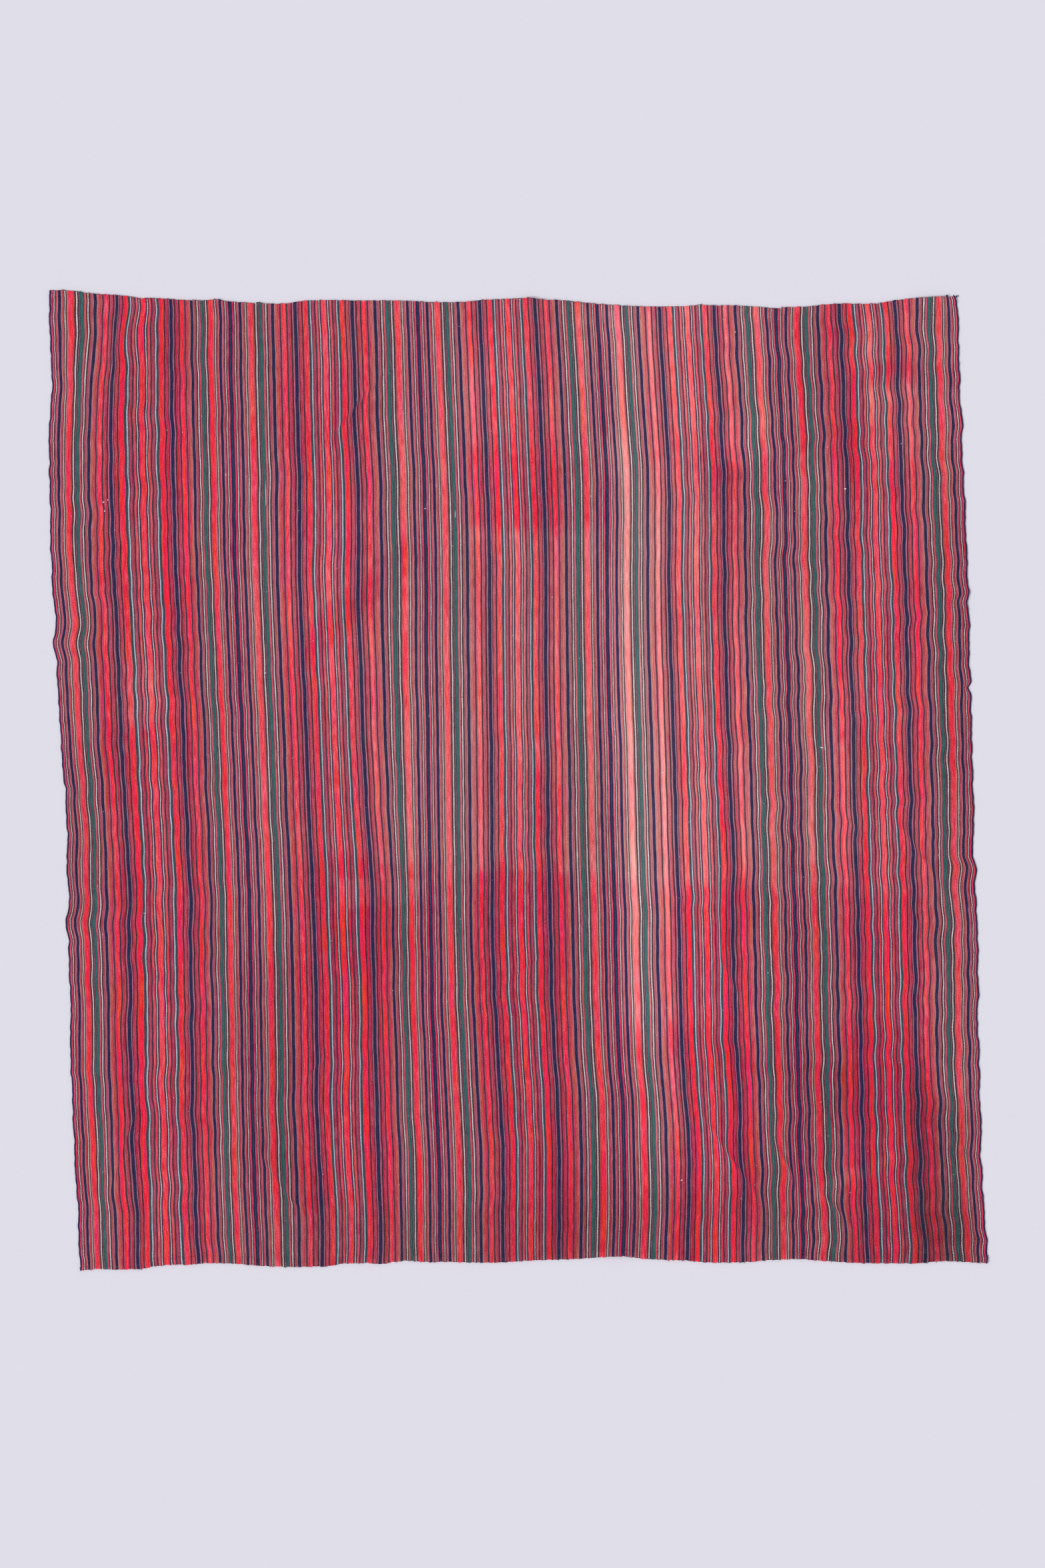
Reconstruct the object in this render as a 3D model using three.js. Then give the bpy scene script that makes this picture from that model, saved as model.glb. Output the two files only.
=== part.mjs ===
import * as THREE from 'three';

// A jajim: a flat-woven cover of five warp-striped bands, laid side by side on the floor
// and sewn selvedge to selvedge. X runs across the bands, Y along the warp, Z up.

// Driving dimensions, in millimetres
const BAND_COUNT = 5;
const BAND_WIDTH = 342;
const CLOTH_LENGTH = 1830;
const CLOTH_THICKNESS = 2;
const SEAM_GAP = 0.3;

// The turned-under hem at both ends of every band
const HEM_DEPTH = 10;
const HEM_THICKNESS = 3.6;
const HEM_SLOPE = 8;

// The bands lean: every millimetre towards the top end moves a warp thread this far to the left
const LEAN = -0.0335;

// Facets across and along one band
const COLUMNS = 10;
const ROWS = 48;

// How far each selvedge or join wanders from a straight leaning line, at heights along the cloth
const SEAM_LINES = [
  { y: -900, across: [-1, -6, -4, -6, -6, 0] },
  { y: -700, across: [-4, -6, -1, 3, -4, -3] },
  { y: -500, across: [-4, -4, -3, 0, -3, -2] },
  { y: -300, across: [-2, 0, -2, 1, 0, 3] },
  { y: -100, across: [1, 0, 1, 2, 0, 2] },
  { y: 100, across: [-4, -3, 4, 3, 2, 5] },
  { y: 300, across: [-6, -4, 8, 6, 3, 7] },
  { y: 500, across: [-10, -4, 13, 11, 6, 6] },
  { y: 700, across: [-1, -1, 12, 10, 5, 4] },
  { y: 900, across: [3, 2, 12, 7, 3, 4] },
];

// How far the two hemmed ends wander from straight, at every quarter of a band from left to right:
// one row for each band, then the right selvedge
const QUARTERS_PER_BAND = 4;
const END_LINES = [
  { top: [7, 1, -6, -10], bottom: [-10, -7, 1, 5] },
  { top: [-14, -18, -11, -11], bottom: [0, -2, 4, 8] },
  { top: [-13, -14, -9, -10], bottom: [8, 5, 10, 13] },
  { top: [-18, -23, -23, -21], bottom: [18, 10, 6, 8] },
  { top: [-25, -20, -18, -8], bottom: [13, 6, 5, 9] },
  { top: [-4], bottom: [5] },
];
const TOP_END = END_LINES.flatMap((band) => band.top);
const BOTTOM_END = END_LINES.flatMap((band) => band.bottom);

// Low ripples where the cloth stands off the floor: middle, size and turn from the X axis in degrees
const RIPPLES = [
  { x: -749, y: 665, length: 520, width: 110, height: 6, turn: 92 },
  { x: -749, y: -728, length: 380, width: 110, height: 5, turn: 88 },
  { x: -774, y: -213, length: 190, width: 90, height: 4, turn: 20 },
  { x: -441, y: -762, length: 180, width: 90, height: 4, turn: -47 },
  { x: -303, y: 706, length: 170, width: 90, height: 4, turn: 52 },
  { x: 29, y: -348, length: 240, width: 100, height: 3, turn: 41 },
  { x: 393, y: -333, length: 200, width: 90, height: 5, turn: -70 },
  { x: 409, y: -728, length: 210, width: 90, height: 5, turn: -53 },
  { x: 306, y: 560, length: 480, width: 110, height: 4, turn: 91 },
  { x: 619, y: 25, length: 620, width: 110, height: 4, turn: 89 },
  { x: 791, y: 320, length: 190, width: 90, height: 5, turn: 28 },
  { x: 776, y: -320, length: 260, width: 95, height: 6, turn: -59 },
  { x: 23, y: 880, length: 260, width: 110, height: 4, turn: 90 },
  { x: 776, y: 870, length: 280, width: 110, height: 5, turn: 86 },
  { x: 183, y: -890, length: 260, width: 110, height: 4, turn: 93 },
];

const YARN_COLOURS = ['#a04b52', '#9c4a50', '#a5525a', '#aa5a60', '#9e464d'];
const WOOL_ROUGHNESS = 0.92;

// A smooth curve through evenly spaced values, read at a place counted in steps
function smoothThrough(values, place) {
  const last = values.length - 1;
  const step = THREE.MathUtils.clamp(Math.floor(place), 0, last - 1);
  const part = THREE.MathUtils.clamp(place - step, 0, 1);
  const value = (index) => values[THREE.MathUtils.clamp(index, 0, last)];
  const startSlope = (value(step + 1) - value(step - 1)) / 2;
  const endSlope = (value(step + 2) - value(step)) / 2;
  const rise = value(step + 1) - value(step);
  const bend = 3 * rise - 2 * startSlope - endSlope;
  const twist = startSlope + endSlope - 2 * rise;
  return value(step) + part * (startSlope + part * (bend + part * twist));
}

// Across counts bands from the left selvedge, along runs from 0 at the bottom end to 1 at the top end
function lengthwise(across, along) {
  const quarter = across * QUARTERS_PER_BAND;
  const bottom = -CLOTH_LENGTH / 2 + smoothThrough(BOTTOM_END, quarter);
  const top = CLOTH_LENGTH / 2 + smoothThrough(TOP_END, quarter);
  return THREE.MathUtils.lerp(bottom, top, along);
}

function crosswise(across, y) {
  const step = SEAM_LINES[1].y - SEAM_LINES[0].y;
  const place = (y - SEAM_LINES[0].y) / step;
  const left = Math.min(Math.floor(across), BAND_COUNT - 1);
  const wander = (line) => smoothThrough(SEAM_LINES.map((row) => row.across[line]), place);
  const offset = THREE.MathUtils.lerp(wander(left), wander(left + 1), across - left);
  return (across - BAND_COUNT / 2) * BAND_WIDTH + LEAN * y + offset;
}

function rippleHeight(x, y) {
  return RIPPLES.reduce((height, ripple) => {
    const turn = THREE.MathUtils.degToRad(ripple.turn);
    const dx = x - ripple.x;
    const dy = y - ripple.y;
    const lengthShare = (dx * Math.cos(turn) + dy * Math.sin(turn)) / ripple.length;
    const widthShare = (dy * Math.cos(turn) - dx * Math.sin(turn)) / ripple.width;
    if (Math.abs(lengthShare) > 0.5 || Math.abs(widthShare) > 0.5) {
      return height;
    }
    return height + ripple.height * (Math.cos(Math.PI * lengthShare) * Math.cos(Math.PI * widthShare)) ** 2;
  }, 0);
}

// Distance along the cloth of each row of facets: the hem and its slope at both ends, even rows between
function rowPlace(row) {
  const ends = [0, HEM_DEPTH, HEM_DEPTH + HEM_SLOPE];
  if (row < ends.length) {
    return ends[row] / CLOTH_LENGTH;
  }
  if (row > ROWS - ends.length) {
    return 1 - ends[ROWS - row] / CLOTH_LENGTH;
  }
  const flatStart = ends[ends.length - 1] / CLOTH_LENGTH;
  const share = (row - ends.length + 1) / (ROWS - 2 * (ends.length - 1));
  return THREE.MathUtils.lerp(flatStart, 1 - flatStart, share);
}

function thicknessAt(along) {
  const fromEnd = Math.min(along, 1 - along) * CLOTH_LENGTH;
  const flatness = THREE.MathUtils.clamp((fromEnd - HEM_DEPTH) / HEM_SLOPE, 0, 1);
  return THREE.MathUtils.lerp(HEM_THICKNESS, CLOTH_THICKNESS, flatness);
}

// One length of woven band: a divided slab whose points are moved onto the laid cloth
function wovenBand(index) {
  const slab = new THREE.BoxGeometry(1, 1, 1, COLUMNS, ROWS, 1);
  const points = slab.attributes.position;
  const edge = SEAM_GAP / 2 / BAND_WIDTH;
  for (let i = 0; i < points.count; i += 1) {
    const across = index + THREE.MathUtils.lerp(edge, 1 - edge, points.getX(i) + 0.5);
    const along = rowPlace(Math.round((points.getY(i) + 0.5) * ROWS));
    const y = lengthwise(across, along);
    const x = crosswise(across, y);
    const upper = points.getZ(i) > 0 ? thicknessAt(along) : 0;
    points.setXYZ(i, x, y, rippleHeight(x, y) + upper);
  }
  slab.computeVertexNormals();
  const wool = new THREE.MeshStandardMaterial({
    color: YARN_COLOURS[index],
    roughness: WOOL_ROUGHNESS,
    metalness: 0,
  });
  const band = new THREE.Mesh(slab, wool);
  band.name = `band_${index + 1}`;
  return band;
}

const jajim = new THREE.Group();
for (let index = 0; index < BAND_COUNT; index += 1) {
  jajim.add(wovenBand(index));
}

// The middle of the cloth's underside is the origin
const middle = new THREE.Box3().setFromObject(jajim, true).getCenter(new THREE.Vector3());
jajim.position.set(-middle.x, -middle.y, 0);

export default jajim;
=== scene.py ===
import math
import random

import bmesh
import bpy
import numpy as np
from mathutils import Matrix, Vector


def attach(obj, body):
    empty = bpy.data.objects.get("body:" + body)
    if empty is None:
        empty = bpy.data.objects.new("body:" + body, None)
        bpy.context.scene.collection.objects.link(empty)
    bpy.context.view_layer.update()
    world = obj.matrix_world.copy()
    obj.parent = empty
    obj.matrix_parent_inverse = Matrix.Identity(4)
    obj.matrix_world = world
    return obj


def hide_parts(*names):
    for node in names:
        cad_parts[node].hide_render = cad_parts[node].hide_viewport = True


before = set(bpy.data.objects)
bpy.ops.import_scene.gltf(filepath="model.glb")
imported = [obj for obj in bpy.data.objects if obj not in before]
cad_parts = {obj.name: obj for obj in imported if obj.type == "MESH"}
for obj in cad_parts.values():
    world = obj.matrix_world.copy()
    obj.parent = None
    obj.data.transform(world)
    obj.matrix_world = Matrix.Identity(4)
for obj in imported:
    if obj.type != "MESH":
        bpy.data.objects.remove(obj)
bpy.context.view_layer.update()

# A jajim: five warp-striped bands of hand-woven wool, sewn selvedge to selvedge and hemmed at both ends.
# Sizes and tables are in millimetres, with X across the bands and Y along the warp; meshes are in metres.
MM = 0.001

# The cloth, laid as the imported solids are
BAND_COUNT = 5
BAND_WIDTH = 342
CLOTH_LENGTH = 1830
CLOTH_THICKNESS = 1.7
LEAN = -0.0335
SEAM_GAP = 0.3

# The turned-under hem: its depth, its slope to the flat, the room between its layers, how far its fold is
# drawn in, and the rows of facets in it: insets of the flat layers, leans round the fold, shares of the slope
HEM_DEPTH = 10
HEM_SLOPE = 8
HEM_LAYER_GAP = 0.2
HEM_FOLD_INSET = 0.7
HEM_LAYER_INSETS = (7, 4)
HEM_FOLD_LEANS = (180, 135, 90, 45, 0)
HEM_SLOPE_SHARES = (0.3, 0.65, 1.0)

# The weave: warp ends across half a band, length of a pick of weft
ENDS_PER_HALF_BAND = 276
PICK_PITCH = 1.25

# Facets across and along one band, the finer steps in from a rounded selvedge, and the square of the share of
# thickness that is left at its very edge
COLUMNS = 104
FLAT_ROWS = 340
SELVEDGE_STEPS = (0.0, 0.25, 0.9)
SELVEDGE_THINNEST = 0.06

# The cloth map sets bands this far apart; the bake map lays out face halves, back and rims by shares of it
BAND_OFFSET_ON_MAP = 10000
FACE_HALF_STARTS = (0.0, 0.41)
FACE_MAP_WIDTH = 0.40
BACK_MAP_START = 0.82
BACK_MAP_WIDTH = 0.15
SELVEDGE_RIM_STARTS = (0.975, 0.981)
CUT_RIM_STARTS = (0.987, 0.993)
RIM_MAP_WIDTH = 0.004
MAP_MARGIN = 0.002

# How far each selvedge or join wanders from a straight leaning line, at heights along the cloth
SEAM_HEIGHTS = range(-900, 901, 200)
SEAM_LINES = {
    "left selvedge": (-1, -4, -4, -2, 1, -4, -6, -10, -1, 3),
    "join 1": (-6, -6, -4, 0, 0, -3, -4, -4, -1, 2),
    "join 2": (-4, -1, -3, -2, 1, 4, 8, 13, 12, 12),
    "join 3": (-6, 3, 0, 1, 2, 3, 6, 11, 10, 7),
    "join 4": (-6, -4, -3, 0, 0, 2, 3, 6, 5, 3),
    "right selvedge": (0, -3, -2, 3, 2, 5, 7, 6, 4, 4),
}

# How far the two hemmed ends wander from straight, at every quarter of a band from left to right
QUARTERS_PER_BAND = 4
TOP_END = (
    (7, 1, -6, -10), (-14, -18, -11, -11), (-13, -14, -9, -10), (-18, -23, -23, -21), (-25, -20, -18, -8),
    (-4,),
)
BOTTOM_END = (
    (-10, -7, 1, 5), (0, -2, 4, 8), (8, 5, 10, 13), (18, 10, 6, 8), (13, 6, 5, 9), (5,),
)

# Small bumps and dents of the two ends: x along straightened warp, height outward, reach
TOP_BUMPS = (
    (-822, 2.2, 26), (-784, -1.4, 36), (-602, -1, 22), (-153, -1, 14), (-688, -2, 12), (-538, 3.6, 14),
    (-459, 2.2, 7), (-379, 1.8, 18), (-283, -1.4, 45), (-118, -1.2, 30), (-46, 1.2, 16), (41, 1.9, 12),
    (75, -1.5, 14), (367, 2.6, 18), (510, -1.5, 12), (570, -1.5, 18), (639, 1.9, 26), (708, -1.2, 18),
)
BOTTOM_BUMPS = (
    (-821, -3.2, 30), (-734, 2.4, 15), (-642, 2, 15), (-547, -1, 30), (-388, 1.8, 12), (-353, -1.3, 14),
    (-288, 3.6, 17), (-238, -1.5, 12), (-190, 1.5, 20), (-96, -1, 30), (206, 2.1, 18), (284, -1.9, 26),
    (445, -1.5, 24), (538, 1.6, 22), (727, 2.4, 28),
)
# The ragged fold of a hem: height, wavelength, start
HEM_WAVES = ((0.35, 9.7, 0.1), (0.3, 14.3, 0.6), (0.35, 23.1, 0.3))
# The uneven outer selvedges: height, wavelength, start; and how far in from the edge it reaches
SELVEDGE_WAVES = ((0.3, 17, 0.2), (0.4, 29, 0.7), (0.4, 47, 0.5))
SELVEDGE_REACH = 14

# Low ripples where the cloth stands off the floor: x, y, length, width, height, turn in degrees
RIPPLES = (
    (-749, 665, 520, 110, 6, 92), (-749, -728, 380, 110, 5, 88), (-774, -213, 190, 90, 4, 20),
    (-441, -762, 180, 90, 4, -47), (-303, 706, 170, 90, 4, 52), (29, -348, 240, 100, 3, 41),
    (393, -333, 200, 90, 5, -70), (409, -728, 210, 90, 5, -53), (306, 560, 480, 110, 4, 91),
    (619, 25, 620, 110, 4, 89), (791, 320, 190, 90, 5, 28), (776, -320, 260, 95, 6, -59),
    (23, 880, 260, 110, 4, 90), (776, 870, 280, 110, 5, 86), (183, -890, 260, 110, 4, 93),
)

# Sharp creases that swallow a little cloth: x, y, half length, turn in degrees, cloth drawn in, height
CREASES = (
    (-307, 697, 118, 50, 2.2, 2), (792, 321, 140, 28, 2.4, 2.2), (632, -85, 80, -38, 2, 1.8),
    (760, -141, 150, -54, 4, 2.6), (762, -285, 170, -66, 1.3, 1.6), (380, -298, 95, -84, 2.2, 1.8),
    (398, -370, 90, -58, 2.4, 2), (404, -722, 160, -55, 4, 2.8), (505, -725, 100, -64, 3.4, 2.4),
    (592, -801, 80, -50, 3.6, 2.4), (-452, -750, 110, -58, 2.2, 1.8), (-421, -795, 80, -25, 2, 1.6),
    (29, -345, 230, 38, 1, 1.2), (622, 745, 60, -4, 1.6, 1.4), (-55, -580, 165, -11, 0.8, 1),
    (-391, -552, 90, 50, 1, 1), (-852, -160, 90, 24, 1.6, 1.6), (-836, -262, 110, -20, 1.8, 1.8),
    (-738, -690, 150, 72, 1.6, 1.6),
)
# How far out a crease draws the cloth, and how softly its middle turns over
CREASE_REACH = 34
CREASE_SOFTNESS = 1.8

# Where stripes swerve sideways and back: x, y, shift, reach across, reach along
SWERVES = (
    (290, 620, 3.4, 150, 230), (290, 60, 4, 140, 260), (290, -260, 3, 130, 200), (300, -560, 3.4, 130, 200),
    (290, -840, 6.6, 130, 140), (0, 560, 2.2, 260, 360), (-80, 190, 2, 200, 200),
    (-285, -440, 2.8, 90, 230), (790, -390, -2.2, 110, 180), (800, 330, -1.2, 80, 200),
    (-450, 400, -2, 100, 130), (-761, 860, 11, 62, 110), (-297, 326, -4.4, 70, 100),
    (-265, 130, -1.4, 70, 80), (-284, -163, 6.3, 70, 100), (-309, -402, 7.5, 70, 110),
    (-334, -816, 5.6, 70, 110), (-33, -289, -3.8, 70, 100), (-661, -835, -5, 70, 90),
    (318, -690, 5, 60, 100), (42, 389, 3, 70, 110), (-372, 803, 1, 60, 90), (-278, 665, -2.5, 60, 80),
    (-880, 256, -6.5, 85, 22), (-849, -272, -4.5, 60, 20), (-844, -220, 4, 60, 25), (839, 665, 0.8, 40, 12),
    (834, 640, -2, 40, 12), (852, 359, 1.8, 50, 18), (848, 335, -4, 50, 15), (858, -144, -4.2, 50, 12),
    (833, -119, -2, 50, 18), (862, -207, -1.5, 50, 20), (854, 173, -8, 12, 7), (874, -728, -3.2, 40, 60),
    (878, -842, -3.2, 30, 14), (822, 922, -6, 32, 20), (832, 884, 1.2, 26, 10), (868, -866, 2.2, 26, 14),
    (479, 496, 5, 35, 35), (642, 558, 4, 40, 45), (789, 592, -2.4, 35, 22), (531, -753, 2, 40, 35),
    (594, -853, 4, 40, 40), (-739, -201, 4, 35, 60), (-736, -471, -4, 30, 35), (-740, -715, -3, 35, 45),
    (-717, -828, 4, 30, 45), (-729, 835, -8, 36, 60), (-806, 916, 10, 48, 150), (-790, 500, 3.2, 70, 28),
    (-620, 545, 2.2, 90, 35), (-430, 575, 1.5, 90, 40), (-235, 490, -2.8, 60, 45),
    (-365, 395, -2.8, 60, 45), (-400, 310, -1.8, 60, 50), (-410, 215, -1.8, 70, 40),
    (-190, 245, -1.8, 60, 50), (-815, 308, 2.5, 40, 22), (-665, 240, 2.2, 80, 25), (-605, 108, 3, 70, 45),
    (-455, -57, -1.8, 70, 50), (-815, -96, 2.2, 50, 50), (-709, -144, -2, 40, 22),
    (-255, -245, 3.4, 55, 70), (-240, -520, 3.4, 50, 70), (-238, -720, 4.6, 46, 110),
    (-236, -890, 5.6, 46, 80), (-690, -560, -2.4, 80, 50), (-625, -635, -2.8, 60, 50),
    (-445, -615, -3.2, 60, 35), (-525, -790, -2.2, 60, 50), (-665, -884, -2.2, 60, 30),
    (-775, -435, 2.6, 50, 30), (95, 445, -1.5, 50, 40), (205, 585, 2.6, 90, 60), (395, 575, 2.4, 60, 60),
    (645, 830, 3.6, 60, 45), (600, 700, 2.6, 90, 40), (500, 620, 2.8, 60, 45), (440, 845, -1.8, 70, 40),
    (-330, 870, -2.2, 60, 40), (650, 320, 1.5, 60, 25), (405, -110, 3, 55, 60), (235, -250, 1.8, 80, 40),
    (0, -405, -2.6, 120, 30), (70, -585, 2, 110, 40), (225, -610, 2.6, 90, 60), (-30, -695, 2, 80, 35),
    (410, -590, 3, 60, 50), (425, -815, 3.8, 60, 90), (235, -810, 1.8, 70, 50), (740, -868, 3, 70, 25),
    (800, -900, 3.5, 60, 30), (645, -498, 2.6, 70, 25), (815, 212, -2.2, 60, 40), (830, 77, -1.8, 50, 30),
    (820, -500, -2, 50, 30), (-755, 800, -4, 32, 50), (-725, 690, -3, 55, 50), (-600, 780, -1.6, 100, 80),
    (-665, 460, 2.2, 60, 35), (-640, 355, 1.8, 60, 30), (-815, 285, 2.2, 40, 20), (-705, 148, 2, 80, 25),
    (-595, 212, 1.3, 50, 25), (-590, 48, 1.4, 60, 25), (-770, 90, -1.8, 40, 40), (-715, -50, -2, 45, 30),
    (-615, -225, 2.2, 40, 22), (-702, -265, -2.6, 40, 20), (-550, -335, -1.6, 50, 50),
    (-393, -270, 1.6, 40, 90), (-395, -430, 1.6, 36, 80), (-340, -535, 3, 55, 35),
    (-265, -600, 2.8, 45, 50), (-258, -830, 2.2, 40, 60), (-262, -710, 1.6, 40, 60),
    (-240, -335, 1.8, 50, 35), (-330, -412, -1.8, 45, 25), (-155, -440, -1.6, 40, 45),
    (-180, -610, -1.3, 40, 60), (-280, -5, 1.6, 60, 35), (-490, -705, -2.6, 60, 28),
    (-660, -712, -2.2, 55, 25), (-795, -690, 1.8, 50, 90), (-70, -770, 1.8, 60, 30), (40, 40, 1.8, 110, 50),
    (30, -120, -1.6, 100, 25), (60, 760, 1.2, 90, 100), (362, 683, 3, 35, 22), (670, 775, 3, 60, 28),
    (660, 655, 2.6, 45, 20), (570, 585, 1.8, 45, 22), (525, 410, -3, 45, 30), (305, 385, -1.8, 45, 40),
    (405, 385, 2, 50, 18), (685, 300, 2, 45, 18), (710, 405, 1.6, 50, 22), (520, 173, 2.2, 50, 14),
    (635, 115, 2.8, 60, 16), (425, 58, 2.6, 70, 25), (530, 20, 3.4, 55, 18), (690, 58, 2.2, 60, 14),
    (380, -40, 2.4, 80, 28), (690, -42, 2.8, 60, 14), (760, -68, 2.2, 40, 12), (385, -165, 3.4, 50, 45),
    (558, -228, 1.8, 50, 18), (548, -332, 2.8, 45, 16), (700, -400, 1.8, 60, 20), (625, -462, 1.8, 60, 18),
    (690, -317, -1.8, 50, 14), (398, -525, 2, 55, 25), (405, -645, 2.6, 45, 25), (420, -735, 2.2, 50, 35),
    (560, -817, 3, 50, 18), (680, -850, 2.4, 50, 16), (405, -890, 2.2, 50, 30), (250, -440, 1.4, 50, 50),
    (-785, 850, -3.2, 25, 28), (-790, 676, -2.4, 20, 14), (-790, 352, -2.8, 25, 12), (-830, 548, 2, 25, 14),
    (-850, 640, 1.6, 20, 20), (-825, 296, 2, 22, 18), (-822, -60, 1.3, 20, 380), (-810, -790, 2, 22, 30),
    (-810, -890, 2.4, 25, 40), (-600, 310, 1.4, 50, 22), (-608, -240, 2, 30, 35), (-610, -120, 1.2, 28, 18),
    (-685, -600, -2.4, 22, 14), (-575, -540, -1.4, 25, 16), (-280, -235, 1.4, 25, 50),
    (-272, -620, 1.8, 20, 90), (-290, -850, 1.1, 22, 40), (-340, -345, -1.4, 30, 50),
    (-330, -735, -1.4, 25, 40), (-195, 180, -1.4, 40, 30), (-200, -870, -1.6, 40, 50),
    (-195, -340, -0.9, 22, 200), (195, 500, 1.6, 25, 40), (190, 820, 1.1, 25, 40), (190, 50, 1.6, 25, 45),
    (85, 370, -1.6, 45, 40), (100, 180, 1.2, 25, 30), (110, -25, 1.2, 30, 18), (320, 530, 1.5, 30, 25),
    (325, 105, 1.8, 25, 18), (350, 28, 2, 28, 14), (330, -222, 2, 45, 16), (360, -740, 1.8, 25, 30),
    (350, -815, 1.8, 28, 18), (395, -775, 1.6, 22, 14), (410, 800, -2.2, 25, 14), (425, 630, -1.5, 22, 12),
    (420, 122, -1.8, 25, 14), (425, -222, -2.4, 25, 18), (410, -320, -1.1, 22, 22),
    (395, -490, -1.8, 25, 14), (420, -665, -1.4, 22, 12), (560, -640, -1.5, 25, 14),
    (470, 835, 1.8, 25, 20), (580, 745, 1.5, 45, 14), (560, 645, 2, 40, 12), (575, 200, 2, 35, 25),
    (575, 10, 1.8, 30, 22), (490, 255, 1.6, 25, 14), (485, -42, 2, 30, 16), (510, -372, 1.8, 40, 14),
    (515, -555, 1.8, 25, 12), (780, -135, 1.5, 30, 14), (790, 672, -1.6, 20, 25), (810, 548, -1.8, 25, 25),
    (755, 468, -1.8, 25, 14), (800, 760, -1.2, 30, 60), (835, -735, -2, 15, 12), (90, -840, 1.4, 30, 16),
    (-345, 850, 1.4, 25, 40), (-340, 650, -1.1, 25, 30), (-75, 560, -1.1, 45, 25), (-75, 380, 0.9, 40, 50),
    (245, 760, -0.9, 25, 60), (255, 250, -0.9, 22, 80), (300, -640, -1, 22, 70), (-855, -20, 2.4, 30, 45),
    (-848, -305, 2.2, 30, 14), (-880, 865, -1.6, 25, 35), (-880, 577, -1.8, 25, 12),
    (-860, 88, 1.6, 25, 18), (832, 905, -1.6, 20, 12), (840, 527, -1.2, 25, 18), (860, 0, -1.6, 25, 12),
    (862, -100, 1.8, 20, 10), (884, -891, -2.2, 25, 20), (-878, 757, 2.4, 30, 30),
    (-880, 640, -3.2, 30, 32), (-880, 521, 1.8, 30, 40), (-878, 370, -2.2, 30, 25),
    (-875, 301, 1.8, 30, 18), (-845, -402, 2.4, 30, 40), (-830, -816, 2, 30, 25), (-856, -4, -1.8, 20, 8),
    (-852, -26, 2, 24, 14),
)

# Fine wandering of the warp: height, wavelength along, bands for one turn of phase, start
WANDER_WAVES = ((0.5, 118, 0.9, 0.1), (0.45, 83, -0.6, 0.45), (0.4, 171, 0.4, 0.8), (0.35, 57, 1.3, 0.3))
# How lively that wandering is at every half band, from the left selvedge to the right
LIVELINESS = (0.8, 1.2, 0.5, 0.3, 0.3, 0.25, 0.25, 0.5, 1.3, 1.5, 1.7)

# Yarns, as sRGB colours
YARNS = {
    "navy": (21, 26, 70), "purple": (64, 38, 75), "charcoal": (62, 42, 54), "teal": (49, 63, 74),
    "green": (46, 100, 98), "white": (246, 242, 244), "cream": (226, 213, 206), "ice": (212, 220, 231),
    "taupe": (112, 82, 90), "slate": (96, 106, 140), "maroon": (67, 26, 42), "umber": (63, 32, 40),
    "wine": (152, 56, 72), "olive": (156, 86, 72), "brick": (202, 80, 95), "terracotta": (204, 94, 84),
    "rose": (222, 68, 104), "madder": (212, 68, 97), "russet": (186, 72, 98), "mauve": (188, 88, 113),
    "lilac": (192, 112, 142), "blush": (206, 128, 134), "pink": (214, 96, 114), "coral": (230, 88, 106),
    "scarlet": (255, 70, 87), "red": (246, 42, 68), "crimson": (216, 70, 98),
}

# Half a band from selvedge to middle, woven mirrored in the other half: ends, yarn, yarn on alternate picks
HALF_BAND = (
    (5, "navy"), (4, "rose"), (1, "wine"), (2, "maroon"), (3, "white", "taupe"), (3, "maroon"),
    (4, "brick"), (2, "lilac"), (1, "purple"), (8, "navy"), (2, "blush"), (5, "brick", "russet"),
    (3, "umber"), (3, "cream", "taupe"), (3, "umber"), (2, "blush"), (3, "coral"), (11, "scarlet"),
    (3, "brick"), (2, "olive"), (4, "maroon"), (3, "white", "taupe"), (2, "charcoal"), (2, "maroon"),
    (2, "lilac"), (2, "charcoal"), (8, "green"), (1, "charcoal"), (2, "mauve"), (4, "pink"), (3, "maroon"),
    (3, "white", "taupe"), (2, "umber"), (2, "maroon"), (3, "mauve"), (4, "olive", "mauve"), (2, "lilac"),
    (1, "purple"), (8, "navy"), (1, "purple"), (2, "blush"), (1, "olive"), (2, "pink"), (4, "terracotta"),
    (1, "olive"), (4, "madder"), (1, "mauve"), (4, "charcoal"), (2, "mauve"), (2, "rose"), (2, "red"),
    (8, "scarlet"), (1, "russet"), (5, "charcoal"), (2, "mauve"), (6, "crimson", "wine"), (1, "wine"),
    (5, "umber"), (1, "mauve"), (2, "lilac"), (2, "purple"), (8, "navy"), (1, "purple"), (2, "lilac"),
    (2, "umber"), (1, "wine"), (7, "crimson", "wine"), (1, "pink"), (4, "maroon"), (1, "mauve"),
    (13, "red"), (1, "coral"), (6, "teal"), (4, "ice", "slate"), (2, "maroon"), (3, "russet", "wine"),
    (1, "mauve"), (3, "russet", "wine"), (2, "purple"), (3, "charcoal"), (5, "coral"), (1, "brick"),
    (3, "umber"), (3, "white", "taupe"), (4, "purple"), (6, "scarlet"), (2, "scarlet", "olive"),
)

# How far the warp of band 1 was set off the chart, at every sixteenth of its width
BAND_1_SPREAD = (0, 1, 3, 3.8, 4.5, 3.4, 2.6, -0.8, -2.8, -4, -6, -6.2, -6, -4, -1.4, 0.5, 0)

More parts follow.
